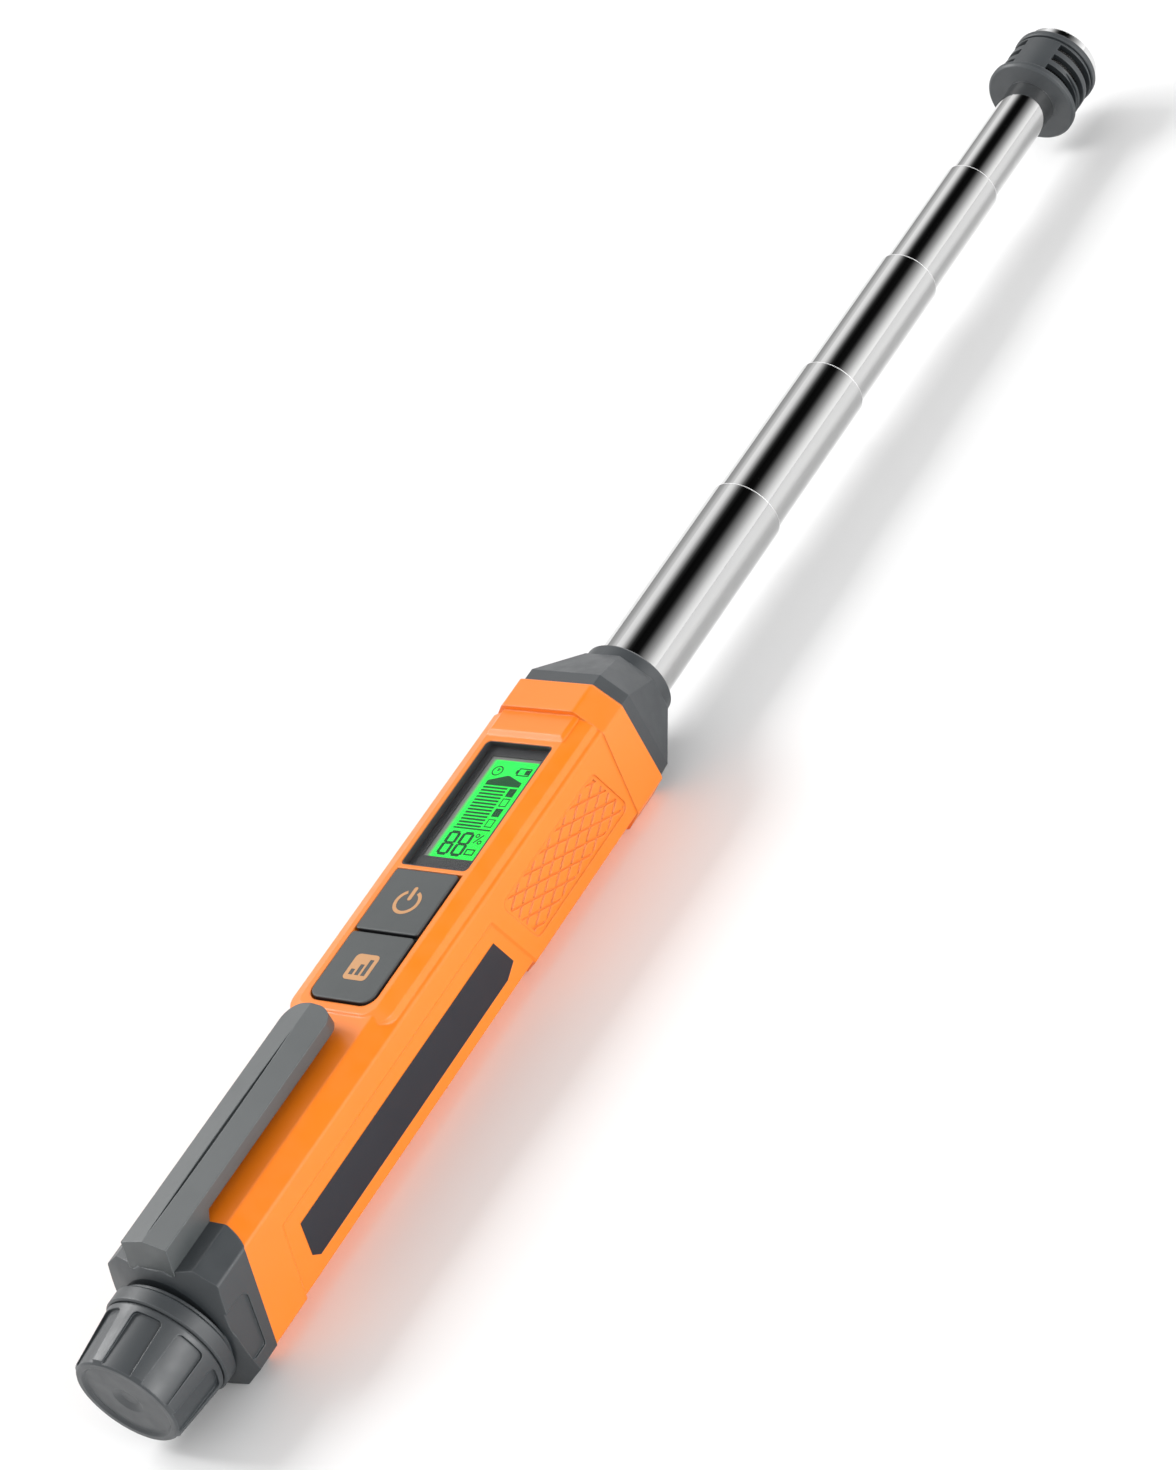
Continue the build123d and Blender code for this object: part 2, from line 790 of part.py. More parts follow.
with BuildPart() as cap_seal:
    with BuildSketch(side(0)):
        ring_profile(-cap_shoulder, -cap_shoulder + seal_thickness, seal_bore_radius, neck_radius)
    revolve(axis=probe_axis)
save(cap_seal, "cap_seal")

# Battery train, from the cap floor to the closed front of the sleeve
with BuildPart() as cap_spring:
    coil_length = spring_length - 2 * spring_wire_radius - 2 * seat_gap
    coil_start = station(-cap_floor + spring_wire_radius + seat_gap).origin
    with BuildLine() as coil:
        Helix(
            coil_length / spring_coils,
            coil_length,
            spring_radius,
            center=coil_start,
            direction=(1, 0, 0),
        )
    with BuildSketch(Plane(origin=coil.line @ 0, z_dir=coil.line % 0)):
        RegularPolygon(spring_wire_radius, 6)
    sweep()
save(cap_spring, "cap_spring")

with BuildPart() as cap_contact:
    with BuildSketch(station(-cell_rear_start - contact_thickness)):
        Circle(contact_radius)
    extrude(amount=contact_thickness)
    chamfer(cap_contact.faces().sort_by(Axis.X)[0].edges(), contact_thickness / 2)
save(cap_contact, "cap_contact")

for cell_label, cell_start in (("cell_rear", cell_rear_start), ("cell_front", cell_joint)):
    with BuildPart() as cell:
        with BuildSketch(station(-cell_start)):
            Circle(cell_radius)
        extrude(amount=cell_length - cell_button)
        chamfer(cell.edges(), cell_rim)
        with BuildSketch(station(-cell_start)):
            Circle(cell_button_radius)
        extrude(amount=cell_length)
    save(cell, cell_label)

with BuildPart() as front_contact:
    with BuildSketch(station(-cell_front_end)):
        Circle(contact_radius)
    extrude(amount=contact_thickness)
save(front_contact, "front_contact")

with BuildPart() as battery_sleeve:
    with BuildSketch(side(0)):
        ring_profile(-neck_end, -sleeve_front, 0, sleeve_radius)
    revolve(axis=probe_axis)
    with BuildSketch(side(0)):
        ring_profile(-neck_end - 1, -sleeve_front - sleeve_wall, 0, cell_bore)
    revolve(axis=probe_axis, mode=Mode.SUBTRACT)
save(battery_sleeve, "battery_sleeve")

# Guide tube that takes the collapsed probe
with BuildPart() as guide_tube:
    with BuildSketch(side(0)):
        ring_profile(guide_rear, nose_length - nose_lip, guide_bore_radius, guide_radius)
        ring_profile(guide_rear, guide_rear + guide_wall, guide_end_hole, guide_radius)
    revolve(axis=probe_axis)
save(guide_tube, "guide_tube")

# Probe tubes and their bushes, shown drawn out
tube_bores = [radius - tube_wall for radius in tube_radii]
tube_noses = [radius + slide_clearance for radius in tube_radii[1:]] + [tube_bores[-1]]
bush_bores = [guide_bore_radius] + tube_bores[:-1]
stop_faces = [nose_length - nose_lip] + [tip - tube_lip for tip in tube_tips[:-1]]
for index, radius in enumerate(tube_radii):
    tube_rear = stop_faces[index] - bush_overlap
    tube_front = tube_tips[index]
    if index == len(tube_radii) - 1:
        tube_front += head_socket
    with BuildPart() as tube:
        with BuildSketch(side(0)):
            ring_profile(tube_rear, tube_front, tube_bores[index], radius)
            ring_profile(tube_front - tube_lip, tube_front, tube_noses[index], radius)
        revolve(axis=probe_axis)
        tip_rims = tube.edges().filter_by(GeomType.CIRCLE).group_by(Axis.X)[-1]
        chamfer(tip_rims.sort_by(SortBy.RADIUS)[-1], tube_tip_bevel)
    save(tube, f"tube_{index + 1}")
    with BuildPart() as bush:
        with BuildSketch(side(0)):
            ring_profile(
                tube_rear,
                tube_rear + bush_length,
                radius,
                bush_bores[index] - slide_clearance,
            )
        revolve(axis=probe_axis)
    save(bush, f"bush_{index + 1}")

# Sensor head: slotted cage with a base flange and an upper ring
with BuildPart() as slots:
    with BuildSketch(side(0)):
        with Locations((slots_middle, cage_radius)):
            with GridLocations(slot_width + slot_rib, 1, slot_rows, 1):
                Rectangle(slot_width, 2 * cage_wall + 1)
    revolve(axis=probe_axis, revolution_arc=360 / post_count - post_angle)

with BuildPart() as sensor_cage:
    with BuildSketch(side(0)):
        Polygon(
            (head_base, 0),
            (head_base, head_flange_radius - head_flange_bevel),
            (head_base + head_flange_bevel, head_flange_radius),
            (head_base + head_flange - head_flange_bevel, head_flange_radius),
            (head_base + head_flange, head_flange_radius - head_flange_bevel),
            (head_base + head_flange, cage_radius),
            (ring_station - ring_groove_width, cage_radius),
            (ring_station - ring_groove_width, cage_radius - ring_groove_depth),
            (ring_station, cage_radius - ring_groove_depth),
            (ring_station, ring_radius - ring_bevel),
            (ring_station + ring_bevel, ring_radius),
            (ring_station + ring_length - ring_bevel, ring_radius),
            (ring_station + ring_length, ring_radius - ring_bevel),
            (ring_station + ring_length, 0),
            align=None,
        )
    revolve(axis=probe_axis)
    with BuildSketch(side(0)):
        ring_profile(head_base - 1, head_base + head_socket, 0, tube_radii[-1])
        ring_profile(head_base, probe_end, 0, tube_noses[-1])
        ring_profile(head_base + head_socket + head_floor, probe_end, 0, cage_radius - cage_wall)
        ring_profile(ring_station - bezel_tail, probe_end, 0, bezel_radius)
    revolve(axis=probe_axis, mode=Mode.SUBTRACT)
    for index in range(post_count):
        turn = post_turn + post_angle / 2 + index * 360 / post_count
        add(slots.part.rotate(probe_axis, turn), mode=Mode.SUBTRACT)
save(sensor_cage, "sensor_cage")

with BuildPart() as sensor_bezel:
    with BuildSketch(side(0)):
        ring_profile(
            ring_station - bezel_tail, probe_end, bezel_radius - bezel_wall, bezel_radius
        )
        ring_profile(probe_end - bezel_wall, probe_end, bezel_hole_radius, bezel_radius)
    revolve(axis=probe_axis)
    bezel_rim = sensor_bezel.faces().sort_by(Axis.X)[-1].outer_wire().edges()
    chamfer(bezel_rim, bezel_bevel)
save(sensor_bezel, "sensor_bezel")

# Fine mesh cup behind the slots, closed by a perforated end
with BuildPart() as sensor_mesh:
    mesh_radius = bezel_radius - bezel_wall
    with BuildSketch(side(0)):
        ring_profile(
            head_base + head_socket + head_floor,
            probe_end - bezel_wall,
            mesh_radius - mesh_thickness,
            mesh_radius,
        )
        ring_profile(
            probe_end - bezel_wall - mesh_thickness, probe_end - bezel_wall, 0, mesh_radius
        )
    revolve(axis=probe_axis)
    with BuildSketch(station(probe_end)):
        with HexLocations(mesh_hole_pitch / 2, mesh_rows, mesh_rows):
            RegularPolygon(mesh_hole_radius, 6)
        Circle(bezel_hole_radius - mesh_hole_radius, mode=Mode.INTERSECT)
    extrude(amount=-bezel_wall - 2 * mesh_thickness, mode=Mode.SUBTRACT)
save(sensor_mesh, "sensor_mesh")

with BuildPart() as sensor_header:
    with BuildSketch(station(head_base + head_socket + head_floor)):
        Circle(mesh_radius - mesh_thickness)
    extrude(amount=header_thickness)
save(sensor_header, "sensor_header")

with BuildPart() as sensor_element:
    with BuildSketch(station(head_base + head_socket + head_floor + header_thickness)):
        Circle(element_radius)
    extrude(amount=element_length)
    chamfer(sensor_element.edges().sort_by(Axis.X)[-1], element_radius - element_cap_radius)
save(sensor_element, "sensor_element")

# Display stack under the window
with BuildPart() as display_mask:
    with BuildSketch(level(mask_base)):
        rounded_pocket(window_start, window_length, window_width, window_corner)
        with Locations((-lcd_start - lcd_length / 2, 0)):
            Rectangle(
                lcd_length - 2 * lcd_border, lcd_width - 2 * lcd_border, mode=Mode.SUBTRACT
            )
    extrude(amount=mask_thickness)
save(display_mask, "display_mask")

with BuildPart() as display_lens:
    with BuildSketch(level(lens_base)):
        rounded_pocket(window_start, window_length, window_width, window_corner)
    extrude(amount=lens_thickness)
save(display_lens, "display_lens")

with BuildPart() as lcd_panel:
    with BuildSketch(level(lcd_top)):
        with Locations((-lcd_start - lcd_length / 2, 0)):
            Rectangle(lcd_length, lcd_width)
    extrude(amount=-lcd_thickness)
save(lcd_panel, "lcd_panel")

with BuildPart() as lcd_backlight:
    with BuildSketch(level(board_top)):
        with Locations((-lcd_start - lcd_length / 2, 0)):
            Rectangle(lcd_length, lcd_width)
    extrude(amount=backlight_thickness)
save(lcd_backlight, "lcd_backlight")

with BuildPart() as main_board:
    with BuildSketch(level(board_base)):
        with Locations((-(window_start + keys_rear) / 2, 0)):
            Rectangle(keys_rear - window_start, 2 * board_half_width)
    extrude(amount=board_thickness)
save(main_board, "main_board")

# Keys with side wings under the body's roof, each over a small dome switch
key_fields = (
    ("power", power_start, power_key_length, 0),
    ("sensitivity", sensitivity_start, sensitivity_key_length, key_corner),
)
for key_label, key_start, key_length, lower_corner in key_fields:
    key_centre = -key_start - key_length / 2
    with BuildPart() as button:
        with BuildSketch(level(key_base)):
            with Locations((key_centre, 0)):
                Rectangle(key_length, key_width)
        extrude(amount=key_top - key_base)
        if lower_corner:
            fillet(button.edges().filter_by(Axis.Z).group_by(Axis.X)[0], lower_corner)
        fillet(button.faces().sort_by(Axis.Z)[-1].edges(), key_edge_round)
        with BuildSketch(level(key_base)):
            with Locations((key_centre, 0)):
                Rectangle(key_length - 2 * key_corner - 1, key_width + 2 * key_wing)
        extrude(amount=key_wing_thickness)
        with BuildSketch(level(key_base)):
            with Locations((key_centre, 0)):
                Rectangle(key_pocket, key_pocket)
        extrude(amount=key_ceiling - key_base, mode=Mode.SUBTRACT)
    save(button, f"{key_label}_button")
    with BuildPart() as switch:
        with BuildSketch(level(board_top)):
            with Locations((key_centre, 0)):
                Rectangle(switch_size, switch_size)
        extrude(amount=switch_body)
        with BuildSketch(level(board_top)):
            with Locations((key_centre, 0)):
                Circle(switch_plunger_radius)
        extrude(amount=switch_body + switch_plunger)
    save(switch, f"{key_label}_switch")

with BuildPart() as buzzer:
    with BuildSketch(level(board_base)):
        with Locations((-buzzer_station, 0)):
            Circle(buzzer_radius)
    extrude(amount=-buzzer_height)
    with BuildSketch(level(board_base - buzzer_height)):
        with Locations((-buzzer_station, 0)):
            Circle(buzzer_hole_radius)
    extrude(amount=buzzer_height / 2, mode=Mode.SUBTRACT)
save(buzzer, "buzzer")
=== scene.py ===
import math

import bpy
from mathutils import Matrix, Quaternion, Vector


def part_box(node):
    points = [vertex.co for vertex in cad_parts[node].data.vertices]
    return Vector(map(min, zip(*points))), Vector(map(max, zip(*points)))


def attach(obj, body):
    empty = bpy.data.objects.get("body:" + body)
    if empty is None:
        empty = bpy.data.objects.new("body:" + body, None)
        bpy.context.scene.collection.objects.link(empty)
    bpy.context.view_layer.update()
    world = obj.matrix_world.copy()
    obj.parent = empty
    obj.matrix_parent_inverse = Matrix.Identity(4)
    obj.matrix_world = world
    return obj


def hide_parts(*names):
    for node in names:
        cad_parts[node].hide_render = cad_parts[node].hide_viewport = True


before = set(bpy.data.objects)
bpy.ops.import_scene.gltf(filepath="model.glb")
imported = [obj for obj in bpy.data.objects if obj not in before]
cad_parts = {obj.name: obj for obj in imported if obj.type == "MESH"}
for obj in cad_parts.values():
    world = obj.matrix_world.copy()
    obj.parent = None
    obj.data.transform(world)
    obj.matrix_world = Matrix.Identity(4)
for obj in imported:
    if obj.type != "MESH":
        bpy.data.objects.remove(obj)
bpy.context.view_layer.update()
print("frame loaded:", len(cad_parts), "nodes")

scene = bpy.context.scene
tubeLow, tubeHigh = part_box("tube_1")
axisHeight = (tubeLow.z + tubeHigh.z) / 2  # probe axis above the floor


# small helpers


def mm(value):
    return value / 1000


def grey(value):
    return (value, value, value, 1)


def clearSelection():
    if bpy.context.mode != "OBJECT":
        bpy.ops.object.mode_set(mode="OBJECT")
    bpy.ops.object.select_all(action="DESELECT")


def startEdit(action="SELECT", kind=None):
    bpy.ops.object.mode_set(mode="EDIT")
    if kind:
        bpy.ops.mesh.select_mode(type=kind)
    bpy.ops.mesh.select_all(action=action)


def endEdit():
    bpy.ops.object.mode_set(mode="OBJECT")


def editOnly(piece, kind, test):
    # edit mode with just the vertices, edges or polygons that pass the test selected
    startEdit("DESELECT", {"vertices": "VERT", "edges": "EDGE", "polygons": "FACE"}[kind])
    endEdit()
    for part in getattr(piece.data, kind):
        part.select = test(part)
    bpy.ops.object.mode_set(mode="EDIT")


def addNode(tree, kind, place=(0, 0), **inputs):
    node = tree.nodes.new(kind)
    node.location = place
    for key, value in inputs.items():
        node.inputs[key.replace("_", " ")].default_value = value
    return node


def newMaterial(name, **inputs):
    # a plain shader wired to the output, with the given inputs set
    material = bpy.data.materials.new(name)
    material.use_nodes = True
    tree = material.node_tree
    tree.nodes.clear()
    out = addNode(tree, "ShaderNodeOutputMaterial", (900, 0))
    shader = addNode(tree, "ShaderNodeBsdfPrincipled", (600, 0), **inputs)
    tree.links.new(shader.outputs["BSDF"], out.inputs["Surface"])
    return material, tree, shader


def objectNoise(tree, scale, detail, place):
    coords = addNode(tree, "ShaderNodeTexCoord", (place[0] - 200, place[1]))
    noise = addNode(tree, "ShaderNodeTexNoise", place, Scale=scale, Detail=detail)
    tree.links.new(coords.outputs["Object"], noise.inputs["Vector"])
    return noise.outputs["Fac"]


def ramp(tree, source, stops, place=(0, 0)):
    node = tree.nodes.new("ShaderNodeValToRGB")
    node.location = place
    elements = node.color_ramp.elements
    for element, (position, colour) in zip(elements, (stops[0], stops[-1])):
        element.position = position
        element.color = colour
    for position, colour in stops[1:-1]:
        elements.new(position).color = colour
    tree.links.new(source, node.inputs["Fac"])
    return node.outputs["Color"]


def mathNode(tree, operation, first, second, place=(0, 0)):
    node = addNode(tree, "ShaderNodeMath", place)
    node.operation = operation
    for socket, value in zip(node.inputs, (first, second)):
        if isinstance(value, (int, float)):
            socket.default_value = value
        else:
            tree.links.new(value, socket)
    return node.outputs["Value"]


def mixNode(tree, share, first, second, place=(0, 0)):
    # colour blend; first and second are colours or sockets
    node = addNode(tree, "ShaderNodeMix", place)
    node.data_type = "RGBA"
    tree.links.new(share, node.inputs["Factor"])
    for key, value in (("A", first), ("B", second)):
        if isinstance(value, tuple):
            node.inputs[key].default_value = value
        else:
            tree.links.new(value, node.inputs[key])
    return node.outputs["Result"]


def spanNode(tree, source, start, end, place=(0, 0)):
    # 0 at start and 1 at end, held beyond both
    node = addNode(tree, "ShaderNodeMapRange", place)
    node.inputs["From Min"].default_value = start
    node.inputs["From Max"].default_value = end
    tree.links.new(source, node.inputs["Value"])
    return node.outputs["Result"]


# camera: the photograph's viewpoint

cameraView = {
    "aim": (-0.02066, 0.00052, 0.01355),
    "distance": 0.81864,
    "azimuth": 39.188,  # from +Y towards +X, the way the camera looks
    "elevation": 35.402,
    "roll": -29.9,
    "lens": 110.2,
    "sensor": 36,
    "nearClip": 0.05,
}


def makeCamera(view):
    azimuth = math.radians(view["azimuth"])
    elevation = math.radians(view["elevation"])
    look = Vector((
        math.sin(azimuth) * math.cos(elevation),
        math.cos(azimuth) * math.cos(elevation),
        -math.sin(elevation),
    ))
    data = bpy.data.cameras.new("photoCamera")
    data.lens = view["lens"]
    data.sensor_width = view["sensor"]
    data.clip_start = view["nearClip"]
    camera = bpy.data.objects.new("photoCamera", data)
    scene.collection.objects.link(camera)
    camera.rotation_mode = "QUATERNION"
    camera.location = Vector(view["aim"]) - look * view["distance"]
    spin = Quaternion((0, 0, 1), math.radians(view["roll"]))
    camera.rotation_quaternion = look.to_track_quat("-Z", "Y") @ spin
    scene.camera = camera


# studio: pale floor, two soft boxes, and a tent with a dark strip overhead

studio = {
    "floorColour": (0.86, 0.86, 0.86, 1),
    "floorShade": 0.985,  # the darker patches' share of the floor's colour
    "floorPatchScale": 6.0,
    "floorRoughness": 0.8,
    "floorSpecular": 0.2,
    "floorRadius": 9.0,
    "floorSteps": 96,
    "rearBox": {"angle": 42, "lean": -4, "distance": 1.4, "size": (0.7, 0.6), "power": 14},
    "sideBox": {"angle": 165, "lean": -4, "distance": 1.5, "size": (0.7, 0.7), "power": 13},
    "bandMiddle": 0.51,  # the chrome mirrors directions whose share along +X is near this
    "bandHalf": 0.22,
    "bandFade": 0.10,
    "tailGlow": 0.75,
    "headGlow": 1.75,
    "headShare": 0.35,  # the share along +X from which the tent has its full headGlow
}

# tent brightness by the angle about the probe, from +Y over +Z
tentGlow = [
    (-180, 1.3), (-20, 1.0), (0, 0.48), (6, 0.42), (23, 0.56), (37, 0.89), (49, 1.16),
    (59, 1.03), (69, 0.55), (79, 0.14), (87, 0.02), (96, 0.004), (115, 0.006), (121, 0.04),
    (129, 0.16), (137, 0.30), (145, 0.46), (154, 0.72), (162, 0.98), (170, 1.19), (180, 1.4),
]


def makeFloor(values):
    clearSelection()
    bpy.ops.mesh.primitive_circle_add(
        vertices=values["floorSteps"], radius=values["floorRadius"], fill_type="NGON",
        location=(0, 0, 0),
    )
    floor = bpy.context.object
    floor.name = "studioFloor"
    material, tree, shader = newMaterial("paperFloor", Roughness=values["floorRoughness"])
    shader.inputs["Specular IOR Level"].default_value = values["floorSpecular"]
    patches = objectNoise(tree, values["floorPatchScale"], 3.0, (-700, 0))
    high = values["floorColour"]
    low = tuple(c * values["floorShade"] for c in high[:3]) + (1,)
    tint = ramp(tree, patches, [(0.3, low), (0.7, high)])
    tree.links.new(tint, shader.inputs["Base Color"])
    floor.data.materials.append(material)


def makeSoftbox(name, box):
    angle = math.radians(box["angle"])  # about the probe, from +Y over +Z
    lean = math.radians(box["lean"])
    away = Vector((
        math.sin(lean),
        math.cos(lean) * math.cos(angle),
        math.cos(lean) * math.sin(angle),
    ))
    data = bpy.data.lights.new(name, "AREA")
    data.shape = "RECTANGLE"
    data.size, data.size_y = box["size"]
    data.energy = box["power"]
    light = bpy.data.objects.new(name, data)
    scene.collection.objects.link(light)
    light.location = Vector((0, 0, axisHeight)) + away * box["distance"]
    light.rotation_mode = "QUATERNION"
    along = Vector((1, 0, 0))
    along = (along - away * along.dot(away)).normalized()
    up = away.cross(along)
    light.rotation_quaternion = Matrix((along, up, away)).transposed().to_quaternion()


def makeTent(values):
    world = bpy.data.worlds.new("studioTent")
    scene.world = world
    world.use_nodes = True
    tree = world.node_tree
    coords = addNode(tree, "ShaderNodeTexCoord", (-900, 0))
    split = addNode(tree, "ShaderNodeSeparateXYZ", (-700, 0))
    tree.links.new(coords.outputs["Generated"], split.inputs["Vector"])
    angle = mathNode(tree, "ARCTAN2", split.outputs["Z"], split.outputs["Y"], (-500, 0))
    turn = mathNode(tree, "MULTIPLY_ADD", angle, 1 / (2 * math.pi), (-350, 0))
    turn.node.inputs[2].default_value = 0.5  # half a turn, so that -180 degrees is 0
    stops = [((degrees + 180) / 360, grey(glow)) for degrees, glow in tentGlow]
    strip = ramp(tree, turn, stops, (-200, 0))
    # away from the band that the chrome mirrors, the tent is plain, and darker at the tail
    ends = [(0.0, grey(values["tailGlow"])), (values["headShare"], grey(values["headGlow"]))]
    plain = ramp(tree, split.outputs["X"], ends, (-200, -250))
    offset = mathNode(tree, "SUBTRACT", split.outputs["X"], values["bandMiddle"], (-500, -450))
    distance = mathNode(tree, "ABSOLUTE", offset, 0.0, (-350, -450))
    half, fade = values["bandHalf"], values["bandFade"]
    band = spanNode(tree, distance, half + fade, half, (-200, -500))
    blend = mixNode(tree, band, plain, strip, (50, 0))
    tree.links.new(blend, tree.nodes["Background"].inputs["Color"])


makeCamera(cameraView)
makeFloor(studio)
makeSoftbox("rearBox", studio["rearBox"])
makeSoftbox("sideBox", studio["sideBox"])
makeTent(studio)
scene.view_settings.view_transform = "Standard"
print("studio ready")


# finishes

surface = {
    "tintSpan": (0.3, 0.7),  # noise values from the dark tint to the light one
    "glossSpan": (0.35, 0.65),
    "glossSpread": 0.05,
    "metalSpread": 0.2,  # as a share of the roughness
    "wearSpan": (0.75, 0.99),  # cosine between the bevelled normal and the flat one
    "scuffScale": 900.0,
    "patchScale": 240.0,
    "plasticDepth": 0.00005,
    "metalDepth": 0.00002,
    "bevelSamples": 4,
}


def tintSocket(tree, source, look):
    dark, light = surface["tintSpan"]
    return ramp(tree, source, [(dark, look["dark"]), (light, look["light"])])


def softEdge(tree, radius, place):
    bevel = addNode(tree, "ShaderNodeBevel", place, Radius=radius)
    bevel.samples = surface["bevelSamples"]
    return bevel.outputs["Normal"]


def bumpTo(tree, shader, height, normal, strength, depth):
    bump = addNode(tree, "ShaderNodeBump", (300, -400), Strength=strength, Distance=depth)
    tree.links.new(height, bump.inputs["Height"])
    if normal is not None:
        tree.links.new(normal, bump.inputs["Normal"])
    tree.links.new(bump.outputs["Normal"], shader.inputs["Normal"])


def mouldedPlastic(name, look):
    material, tree, shader = newMaterial(name, IOR=look["ior"])
    links = tree.links
    shader.inputs["Specular IOR Level"].default_value = look["specular"]
    cloud = objectNoise(tree, look["cloudScale"], 4.0, (-900, 200))
    # edges rub paler, unevenly
    rounded = softEdge(tree, look["edge"], (-900, -300))
    geometry = addNode(tree, "ShaderNodeNewGeometry", (-900, -500))
    turn = addNode(tree, "ShaderNodeVectorMath", (-700, -300))
    turn.operation = "DOT_PRODUCT"
    links.new(rounded, turn.inputs[0])
    links.new(geometry.outputs["Normal"], turn.inputs[1])
    sharp, flat = surface["wearSpan"]
    edges = ramp(tree, turn.outputs["Value"], [(sharp, grey(1)), (flat, grey(0))])
    scuff = objectNoise(tree, surface["scuffScale"], 3.0, (-900, -50))
    rub = mathNode(tree, "MULTIPLY", edges, scuff, (-450, -100))
    colour = mixNode(tree, rub, tintSocket(tree, cloud, look), look["worn"], (-200, 200))
    links.new(colour, shader.inputs["Base Color"])
    patch = objectNoise(tree, surface["patchScale"], 5.0, (-900, -700))
    rough, spread = look["roughness"], surface["glossSpread"]
    low, high = surface["glossSpan"]
    gloss = ramp(tree, patch, [(low, grey(rough - spread)), (high, grey(rough + spread))])
    links.new(gloss, shader.inputs["Roughness"])
    grain = objectNoise(tree, look["grainScale"], 2.0, (-500, -900))
    bumpTo(tree, shader, grain, rounded, look["grain"], surface["plasticDepth"])
    return material


def polishedMetal(name, look):
    material, tree, shader = newMaterial(name, Metallic=1.0)
    links = tree.links
    coords = addNode(tree, "ShaderNodeTexCoord", (-1200, 0))
    mapping = addNode(tree, "ShaderNodeMapping", (-1000, 0))
    mapping.inputs["Scale"].default_value = look["stretch"]
    links.new(coords.outputs["Object"], mapping.inputs["Vector"])
    noise = addNode(tree, "ShaderNodeTexNoise", (-800, 0), Scale=look["streakScale"], Detail=4.0)
    links.new(mapping.outputs["Vector"], noise.inputs["Vector"])
    streak = noise.outputs["Fac"]
    links.new(tintSocket(tree, streak, look), shader.inputs["Base Color"])
    rough, spread = look["roughness"], surface["metalSpread"]
    low, high = surface["tintSpan"]
    gloss = ramp(tree, streak, [
        (low, grey(rough * (1 - spread))), (high, grey(rough * (1 + spread))),
    ])
    links.new(gloss, shader.inputs["Roughness"])
    rounded = softEdge(tree, look["edge"], (0, -500))
    bumpTo(tree, shader, streak, rounded, look["grain"], surface["metalDepth"])
    return material


def clearWindow(name, look):
    material, tree, shader = newMaterial(name, IOR=look["ior"], Alpha=look["alpha"])
    shader.inputs["Specular IOR Level"].default_value = look["specular"]
    haze = objectNoise(tree, look["hazeScale"], 4.0, (-700, 0))
    tree.links.new(tintSocket(tree, haze, look), shader.inputs["Base Color"])
    smear = ramp(tree, haze, [(place, grey(rough)) for place, rough in look["smear"]])
    tree.links.new(smear, shader.inputs["Roughness"])
    return material


def glowingDisplay(name, look):
    # lit green field with a soft grey border on two sides, as a backlit display has
    material, tree, shader = newMaterial(name, Roughness=look["roughness"])
    links = tree.links
    coords = addNode(tree, "ShaderNodeTexCoord", (-1300, 0))
    split = addNode(tree, "ShaderNodeSeparateXYZ", (-1100, 0))
    links.new(coords.outputs["Object"], split.inputs["Vector"])
    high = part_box("lcd_panel")[1]
    masks = []
    for axis, edge, fade in (("X", high.x - look["topBorder"], look["topFade"]),
                             ("Y", high.y - look["sideBorder"], look["sideFade"])):
        masks.append(spanNode(tree, split.outputs[axis], edge + fade / 2, edge - fade / 2))
    lit = mathNode(tree, "MULTIPLY", masks[0], masks[1], (-600, 0))
    green = tintSocket(tree, objectNoise(tree, look["cloudScale"], 3.0, (-850, 300)), look)
    field = mixNode(tree, lit, look["border"], green, (0, 200))
    links.new(field, shader.inputs["Base Color"])
    glow = mixNode(tree, lit, grey(0), green, (0, -200))
    links.new(glow, shader.inputs["Emission Color"])
    shader.inputs["Emission Strength"].default_value = look["glow"]
    return material


def wovenSteel(name, look):
    material, tree, shader = newMaterial(name, Metallic=1.0, Roughness=look["roughness"])
    coords = addNode(tree, "ShaderNodeTexCoord", (-1100, 0))
    waves = []
    for direction, height in (("X", 100), ("DIAGONAL", -200)):
        wave = addNode(tree, "ShaderNodeTexWave", (-800, height), Scale=look["pitch"])
        wave.bands_direction = direction
        tree.links.new(coords.outputs["Object"], wave.inputs["Vector"])
        waves.append(wave.outputs["Fac"])
    weave = mathNode(tree, "MULTIPLY", waves[0], waves[1], (-500, 0))
    low, high = look["weaveSpan"]
    tint = ramp(tree, weave, [(low, look["dark"]), (high, look["light"])])
    tree.links.new(tint, shader.inputs["Base Color"])
    bumpTo(tree, shader, weave, None, look["grain"], look["depth"])
    return material


